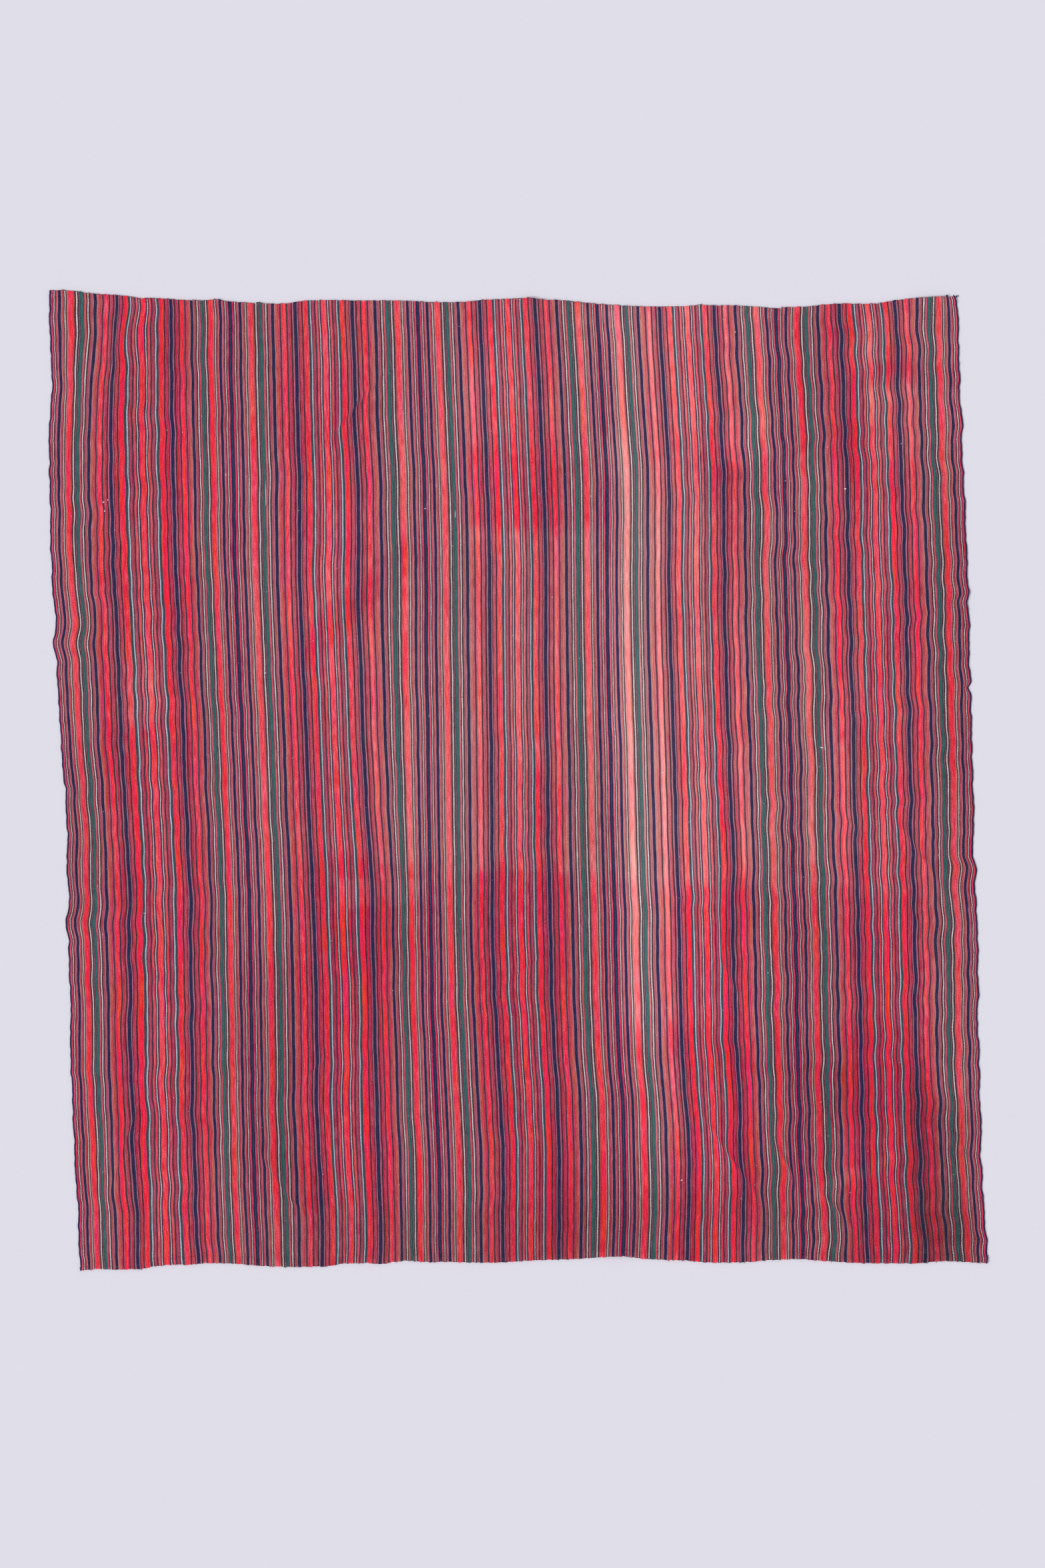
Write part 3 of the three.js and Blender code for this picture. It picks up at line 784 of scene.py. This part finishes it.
def along_hem(way_out, pitch, uneven, inset, draw):
    """Where unevenly spaced points along a hemmed end lie: x, y and the height of the underside."""
    across = np.arange(pitch, BAND_COUNT * BAND_WIDTH, pitch) / BAND_WIDTH
    across += np.array([astray(draw, uneven) for _ in across]) / BAND_WIDTH
    return laid(across, end_line(way_out, across) - way_out * inset)


def join_stitches(index, finish, draw):
    """Overcast stitches that hold two bands' selvedges together."""
    length, width, thickness, pitch = JOIN_STITCH
    y = along_warp(index, pitch, JOIN_UNEVEN, draw)
    x, y, lifted = laid(np.full(len(y), float(index)), y)
    hem = np.clip((y - y.min()) / HEM_DEPTH, 0, 1) * np.clip((y.max() - y) / HEM_DEPTH, 0, 1)
    top = lifted + CLOTH_THICKNESS + (1 - hem) * (CLOTH_THICKNESS + HEM_LAYER_GAP)
    stitches, shades = [], []
    for k in range(len(y)):
        turn = JOIN_TURN + astray(draw, JOIN_SWING)
        size = draw.uniform(*JOIN_SIZES)
        place = (x[k] + astray(draw, JOIN_STRAY), y[k], top[k] - JOIN_SINK)
        stitches.append((*place, length * size, width, thickness, turn))
        ticked = sum(pale * bell(y[k] - height, reach) for height, reach, pale in JOIN_TICKS[index])
        shades.append((JOIN_SHADE + ticked) * draw.uniform(*JOIN_SHADES))
    return thread_grains(f"join_stitches_{index}", stitches, shades, finish)


def edge_stitches(name, across, side, fleck_height, finish, draw):
    """Overcasting thread along an outer selvedge, flecked pale around one height."""
    length, width, thickness, pitch = EDGE_STITCH
    y = along_warp(across, pitch, EDGE_UNEVEN, draw)
    x, y, lifted = laid(np.full(len(y), float(across)), y)
    x -= side * EDGE_INSET
    top = lifted + CLOTH_THICKNESS - EDGE_SINK
    stitches = [
        (x[k], y[k], top[k], length, width, thickness, astray(draw, EDGE_SWING))
        for k in range(len(y))
    ]
    flecked = FLECK_BASE + FLECK_PALENESS * bell(y - fleck_height, FLECK_REACH)
    shades = [fleck * draw.uniform(0, 1) ** 2 for fleck in flecked]
    return thread_grains(name, stitches, shades, finish)


def hem_stitches(name, way_out, finish, draw):
    """Small stitches that hold a turned-under hem."""
    length, width, thickness, pitch = HEM_STITCH
    stray_along, stray_inward = HEM_STRAY
    x, y, lifted = along_hem(way_out, pitch, stray_along, HEM_STITCH_INSET, draw)
    top = lifted + 2 * CLOTH_THICKNESS + HEM_LAYER_GAP
    stitches = [
        (x[k], y[k] + astray(draw, stray_inward), top[k], length * draw.uniform(*HEM_SIZES), width, thickness,
         astray(draw, HEM_SWING))
        for k in range(len(y))
    ]
    return thread_grains(name, stitches, [draw.uniform(0, 1) for _ in stitches], finish)


def cloth_top(x, y):
    """Height of the cloth's face at a place on it."""
    return float(rise(np.array([float(x)]), np.array([float(y)]))[0]) + CLOTH_THICKNESS


def loose_ends(name, rows, finish):
    """Bent thread ends that start at a height on the cloth's edge and droop to the floor."""
    threads = bmesh.new()
    lying = Matrix.Rotation(math.radians(90), 4, "Y")
    for x, y, height, turn, length, bend in rows:
        angle = math.radians(bend)
        middle = (0, length / angle, 0)
        before = set(threads.verts)
        start = bmesh.ops.create_circle(
            threads, cap_ends=True, segments=LOOSE_END_SIDES, radius=LOOSE_END_RADIUS, matrix=lying)
        rim = start["verts"]
        tip = rim + list({face for point in rim for face in point.link_faces})
        bmesh.ops.spin(threads, geom=tip, cent=middle, axis=(0, 0, 1), angle=angle, steps=LOOSE_END_STEPS)
        bmesh.ops.holes_fill(threads, edges=[edge for edge in threads.edges if edge.is_boundary])
        made = [point for point in threads.verts if point not in before]
        droop = Matrix.Rotation(math.atan2(height - LOOSE_END_RADIUS, length), 4, "Y")
        place = Matrix.Translation((x, y, height)) @ Matrix.Rotation(math.radians(turn), 4, "Z") @ droop
        bmesh.ops.transform(threads, matrix=Matrix.Scale(MM, 4) @ place, verts=made)
    bmesh.ops.recalc_face_normals(threads, faces=threads.faces[:])
    return new_piece(name, smooth_mesh(name, threads), finish)


def hem_tufts(draw):
    """Short thread ends standing out of both hem folds: rows for loose ends by yarn."""
    tufts = {yarn: [] for yarn in TUFT_YARNS}
    for way_out, outward in ((1, 90), (-1, 270)):
        x, y, lifted = along_hem(way_out, TUFT_PITCH, TUFT_STRAY, TUFT_INSET, draw)
        for k in range(len(x)):
            yarn = draw.choice(TUFT_YARNS)
            height = lifted[k] + CLOTH_THICKNESS + draw.uniform(*TUFT_HEIGHTS)
            turn = outward + astray(draw, TUFT_SWING)
            length = draw.uniform(*TUFT_LENGTHS)
            tufts[yarn].append((x[k], y[k], height, turn, length, draw.choice(TUFT_BENDS)))
    return tufts


def lint(name, count, finish, draw):
    """Short fibres caught on the face, lying mostly along the warp."""
    across = np.array([draw.uniform(LINT_MARGIN, BAND_COUNT - LINT_MARGIN) for _ in range(count)])
    y = np.array([draw.uniform(*LINT_HEIGHTS) for _ in range(count)])
    x, y, lifted = laid(across, y)
    stitches = [
        (x[k], y[k], lifted[k] + CLOTH_THICKNESS, draw.uniform(*LINT_LENGTHS), draw.uniform(*LINT_WIDTHS),
         LINT_THICKNESS, 90 + astray(draw, LINT_SWING))
        for k in range(count)
    ]
    return thread_grains(name, stitches, [draw.uniform(0, 1) for _ in stitches], finish)


def slubs_of(yarn):
    """Slubs and knots of one yarn caught on the face."""
    stitches = [
        (x, y, cloth_top(x, y), length, width, min(width, SLUB_THICKNESS), turn)
        for x, y, length, width, turn, slub_yarn in SLUBS
        if slub_yarn == yarn
    ]
    finish = sewing_thread(f"slub_{yarn}", dyed(yarn), dyed(yarn))
    return thread_grains(f"slubs_{yarn}", stitches, [PLAIN_SHADE] * len(stitches), finish)


class Socket:
    """An output in a finish; arithmetic on it adds Math nodes."""

    def __init__(self, finish, output):
        self.finish = finish
        self.output = output

    def math(self, operation, *terms):
        return self.finish.add("ShaderNodeMath", {"operation": operation}, dict(enumerate(terms)))

    def other(self, name):
        return Socket(self.finish, self.output.node.outputs[name])

    def __add__(self, term):
        return self.math("ADD", self, term)

    def __radd__(self, term):
        return self.math("ADD", term, self)

    def __sub__(self, term):
        return self.math("SUBTRACT", self, term)

    def __rsub__(self, term):
        return self.math("SUBTRACT", term, self)

    def __mul__(self, term):
        return self.math("MULTIPLY", self, term)

    def __rmul__(self, term):
        return self.math("MULTIPLY", term, self)

    def __truediv__(self, term):
        return self.math("DIVIDE", self, term)

    def __gt__(self, term):
        return self.math("GREATER_THAN", self, term)

    def __abs__(self):
        return self.math("ABSOLUTE", self)

    def fraction(self):
        return self.math("FRACT", self)

    def floor(self):
        return self.math("FLOOR", self)

    def sine(self):
        return self.math("SINE", self)

    def at_least(self, term):
        return self.math("MAXIMUM", self, term)


class Finish:
    """A procedural material under construction."""

    def __init__(self, name):
        self.material = bpy.data.materials.new(name)
        self.material.use_nodes = True
        self.tree = self.material.node_tree
        self.surface = self.tree.nodes["Principled BSDF"]

    def add(self, kind, settings=None, inputs=None, output=0):
        """Adds a node: its settings come first, then the values or links of its sockets."""
        node = self.tree.nodes.new(kind)
        for name, value in (settings or {}).items():
            setattr(node, name, value)
        self.feed(node, inputs or {})
        return Socket(self, node.outputs[output])

    def feed(self, node, inputs):
        for key, value in inputs.items():
            if isinstance(value, Socket):
                self.tree.links.new(value.output, node.inputs[key])
            else:
                node.inputs[key].default_value = value

    def mix(self, factor, first, second):
        """A mix of two colours."""
        return self.add("ShaderNodeMix", {"data_type": "RGBA"}, {0: factor, 6: first, 7: second}, 2)

    def noise(self, x, y, detail=2.0):
        """Smooth noise around 0 at a place whose sizes are counted in noise cells."""
        place = self.add("ShaderNodeCombineXYZ", {}, {0: x, 1: y})
        cells = {"Vector": place, "Scale": 1.0, "Detail": detail}
        return self.add("ShaderNodeTexNoise", {"noise_dimensions": "2D"}, cells) - 0.5

    def steps(self, place, stops):
        """Colours that change at once at each stop."""
        colour = self.add("ShaderNodeValToRGB", {}, {0: place})
        ramp = colour.output.node.color_ramp
        ramp.interpolation = "CONSTANT"
        while len(ramp.elements) < len(stops):
            ramp.elements.new(1.0)
        for element, (start, dye) in zip(ramp.elements, stops):
            element.position = start
            element.color = dye
        return colour

    def mark(self, name):
        """A value that the mesh holds for every point."""
        return self.add("ShaderNodeAttribute", {"attribute_name": name}, {}, "Fac")


def dyed(yarn):
    """A yarn's colour as linear light."""
    shares = [level / 255 for level in YARNS[yarn]]
    linear = [c / 12.92 if c <= 0.04045 else ((c + 0.055) / 1.055) ** 2.4 for c in shares]
    return (*linear, 1.0)


def half_band_stops():
    """Colour stops for the odd picks in three runs, and for the yarns that replace them on even picks."""
    bare = (0, 0, 0, 0)
    odd, even = [], [(0.0, bare)]
    ends = 0
    for width, yarn, *partner in HALF_BAND:
        odd.append((ends / ENDS_PER_HALF_BAND, dyed(yarn)))
        if partner:
            even.append((ends / ENDS_PER_HALF_BAND, dyed(partner[0])))
            even.append(((ends + width) / ENDS_PER_HALF_BAND, bare))
        ends += width
    run = math.ceil(len(odd) / 3)
    return odd[:run], odd[run:2 * run], odd[2 * run:], even


def striped_wool():
    """Warp-faced wool: charted stripes, dashed picks, uneven yarn, wear, and the weave's ribs as relief and as
    painted shade between the yarns.
    """
    wool = Finish("striped_wool")
    cloth = wool.add("ShaderNodeUVMap", {"uv_map": "cloth"})
    across = wool.add("ShaderNodeSeparateXYZ", {}, {0: cloth})
    along = across.other("Y")

    def grain(cells, detail=2.0):
        """Noise with so many cells to the metre across and along the cloth."""
        return wool.noise(across * cells[0], along * cells[1], detail)

    ends = across / (BAND_WIDTH * MM / (2 * ENDS_PER_HALF_BAND))
    beat_place = {"W": along * BEAT_CELLS, "Scale": 1.0, "Detail": 1.0}
    beat = wool.add("ShaderNodeTexNoise", {"noise_dimensions": "1D"}, beat_place)
    picks = along / (PICK_PITCH * MM) + beat * BEAT_PICKS
    even_pick = (picks * 0.5).fraction() > EVEN_PICK_FROM

    hair = grain(HAIR_CELLS, 1.0) + grain(WISP_CELLS, 0.0) * WISP_SHARE
    half = 1 - abs(across * (2 / (BAND_WIDTH * MM)) - 1) + hair * STRIPE_BLUR
    near_stops, middle_stops, far_stops, even_stops = half_band_stops()
    stripe = wool.steps(half, near_stops)
    for stops in (middle_stops, far_stops):
        stripe = wool.mix(half > stops[0][0], stripe, wool.steps(half, stops))
    partner = wool.steps(half, even_stops)
    stripe = wool.mix(even_pick * partner.other("Alpha"), stripe, partner)
    redness = wool.add("ShaderNodeSeparateColor", {}, {0: stripe})

    # The weave's ribs, highest where an end floats over a pick: they shape the bump, and in the brightness
    # they are painted shade, darker between the yarns
    float_up = 0.5 + 0.5 * ((picks + ends.floor()) * math.pi).sine()
    rib = (ends.fraction() * math.pi).sine()
    weave = rib * (SUNK_PICK + (1 - SUNK_PICK) * float_up)
    fibre = grain(FIBRE_CELLS)
    parts = {
        "weave": weave,
        "fibre": fibre,
        "yarn": wool.noise(ends, along * YARN_TONE_CELLS),
        "dye": grain(DYE_CELLS),
        "streak": grain(STREAK_CELLS),
        "fluff": grain(FLUFF_CELLS, 3.0) + grain(SPECK_CELLS, 0.0) * SPECK_SHARE,
    }
    yarn_hue = wool.noise(ends * YARN_HUE_CELLS[0] + YARN_HUE_START, along * YARN_HUE_CELLS[1])

    def uneven(plain, weights):
        """A plain value, made uneven by parts of the wool."""
        return sum((parts[name] * weight for name, weight in weights.items()), plain)

    def by_redness(plain, red):
        return plain + redness * red

    worn = wool.mark("wear") + grain(BLOTCH_CELLS, 3.0) * BLOTCH_WEAR
    pale = worn.at_least(0.0)
    deep = (0 - worn).at_least(0.0)
    # The weave's share of this brightness is painted shade between the yarns; the other parts are the wool's
    # own uneven tone and wear
    value = uneven(PLAIN_VALUE, VALUE_WEIGHTS) + pale * by_redness(*PALE_VALUE) - deep * DEEP_SHADE
    strength = uneven(PLAIN_STRENGTH, STRENGTH_WEIGHTS) + deep * DEEP_STRENGTH
    strength = strength - pale * by_redness(*PALE_FADING)
    # Patches of plain darkening (over 0) and lightening (under 0) change the brightness, with no change of hue
    # or strength of colour
    tinted = wool.add("ShaderNodeHueSaturation", {}, {
        "Hue": SAME_HUE + yarn_hue * YARN_HUE_SWING + pale * PALE_HUE_SHIFT,
        "Saturation": strength,
        "Value": value - wool.mark("darkening"),
        "Color": stripe,
    })
    dusty = wool.mix(pale * by_redness(*PALE_DUST), tinted, DUST_COLOUR)
    fuzzy = wool.mix(uneven(PLAIN_FUZZ, FUZZ_WEIGHTS).at_least(0.0), dusty, FUZZ_COLOUR)

    relief = weave + fibre * FIBRE_RELIEF
    bump = wool.add("ShaderNodeBump", {}, {"Strength": 0.55, "Distance": WEAVE_RELIEF * MM, "Height": relief})
    wool.feed(wool.surface, {
        "Base Color": fuzzy, "Roughness": 0.9 + fibre * 0.16, "Normal": bump,
        "Specular IOR Level": 0.22, "Sheen Weight": 0.12, "Sheen Roughness": 0.55,
    })
    return wool.material


def sewing_thread(name, dark, light):
    """Plied thread, from a dark to a light yarn by each stitch's shade."""
    thread = Finish(name)
    place = thread.add("ShaderNodeTexCoord", {}, {}, "Object")
    ply = thread.add("ShaderNodeTexNoise", {}, {"Vector": place, "Scale": PLY_CELLS, "Detail": 2.0})
    colour = thread.mix(thread.mark("shade") * (1 - PLY_SHADE) + ply * PLY_SHADE, dark, light)
    bump = thread.add("ShaderNodeBump", {}, {"Strength": 0.5, "Distance": PLY_RELIEF * MM, "Height": ply})
    thread.feed(thread.surface, {
        "Base Color": colour, "Roughness": 0.78 + ply * 0.15, "Normal": bump, "Specular IOR Level": 0.25,
    })
    return thread.material


def studio_floor():
    """A plain pale floor, well wider than the cloth."""
    sheet = bmesh.new()
    bmesh.ops.create_grid(sheet, x_segments=1, y_segments=1, size=FLOOR_HALF_WIDTH)
    bmesh.ops.translate(sheet, verts=sheet.verts[:], vec=(0, 0, -FLOOR_GAP))
    mesh = smooth_mesh("studio_floor", sheet)
    floor = bpy.data.objects.new("studio_floor", mesh)
    bpy.context.scene.collection.objects.link(floor)
    paper = Finish("studio_paper")
    paper.feed(paper.surface, {"Base Color": PAPER_COLOUR, "Roughness": 0.95, "Specular IOR Level": 0.0})
    mesh.materials.append(paper.material)


def studio_light():
    """An even white surround and one broad soft lamp on the left."""
    world = bpy.data.worlds.new("studio_surround")
    world.use_nodes = True
    background = world.node_tree.nodes["Background"]
    background.inputs["Color"].default_value = (1, 1, 1, 1)
    background.inputs["Strength"].default_value = SURROUND_STRENGTH
    bpy.context.scene.world = world
    lamp = bpy.data.lights.new("key_lamp", "SUN")
    lamp.angle = math.radians(LAMP_SPREAD)
    lamp.energy = (1 - SURROUND_STRENGTH) * math.pi / math.sin(math.radians(LAMP_HEIGHT))
    key = bpy.data.objects.new("key_lamp", lamp)
    key.rotation_euler = (0, math.radians(90 - LAMP_HEIGHT), math.radians(LAMP_BEARING))
    bpy.context.scene.collection.objects.link(key)


def photo_camera():
    """A camera straight above the cloth, framed as the photograph is."""
    lens = bpy.data.cameras.new("photo_camera")
    lens.sensor_fit = "VERTICAL"
    lens.sensor_height = SENSOR_HEIGHT
    lens.lens = SENSOR_HEIGHT * CAMERA_HEIGHT / (PHOTO_SIZE[1] * PIXEL * MM)
    camera = bpy.data.objects.new("photo_camera", lens)
    right = (PHOTO_SIZE[0] / 2 - CLOTH_MIDDLE_IN_PHOTO[0]) * PIXEL * MM
    down = (PHOTO_SIZE[1] / 2 - CLOTH_MIDDLE_IN_PHOTO[1]) * PIXEL * MM
    camera.location = (right, -down, CAMERA_HEIGHT)
    bpy.context.scene.collection.objects.link(camera)
    bpy.context.scene.camera = camera
    bpy.context.scene.view_settings.view_transform = "Standard"


def make_jajim():
    draw = random.Random(SEED)
    wool = striped_wool()
    slab = band_slab()
    bands = [woven_band(index, slab, wool) for index in range(BAND_COUNT)]
    bpy.data.meshes.remove(slab)

    blue = sewing_thread("blue_sewing_thread", BLUE_THREAD, BLUE_THREAD_PALE)
    maroon = sewing_thread("hem_thread", dyed("maroon"), dyed("crimson"))
    pale_blue = sewing_thread("selvedge_thread", dyed("navy"), SELVEDGE_THREAD_PALE)
    joins = [join_stitches(index, blue, draw) for index in range(1, BAND_COUNT)]
    edges = [
        edge_stitches("left_edge_stitches", 0, -1, LEFT_FLECK, pale_blue, draw),
        edge_stitches("right_edge_stitches", BAND_COUNT, 1, RIGHT_FLECK, pale_blue, draw),
    ]
    hems = [
        hem_stitches("top_hem_stitches", 1, maroon, draw),
        hem_stitches("bottom_hem_stitches", -1, maroon, draw),
    ]
    pale_fibre = sewing_thread("lint_fibre", dyed("slate"), dyed("white"))
    dark_fibre = sewing_thread("dark_fibre", dyed("maroon"), dyed("wine"))
    pale_lint = lint("pale_lint", PALE_LINT_COUNT, pale_fibre, draw)
    dark_lint = lint("dark_lint", DARK_LINT_COUNT, dark_fibre, draw)
    tufts = hem_tufts(draw)
    for x, y, turn, length, bend, yarn in LOOSE_ENDS:
        tufts.setdefault(yarn, []).append((x, y, cloth_top(x, y), turn, length, bend))
    ends = [
        loose_ends(f"loose_ends_{yarn}", rows, sewing_thread(f"loose_{yarn}", dyed(yarn), dyed(yarn)))
        for yarn, rows in tufts.items()
    ]
    slubs = [slubs_of(yarn) for yarn in sorted({yarn for *_, yarn in SLUBS})]

    for index, band in enumerate(bands):
        sewn = joins[max(index - 1, 0):index + 1] + hems + [pale_lint, dark_lint] + ends + slubs
        if index in (0, BAND_COUNT - 1):
            sewn.append(edges[index // (BAND_COUNT - 1)])
        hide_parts(f"band_{index + 1}")


photo_camera()
studio_light()
studio_floor()
make_jajim()
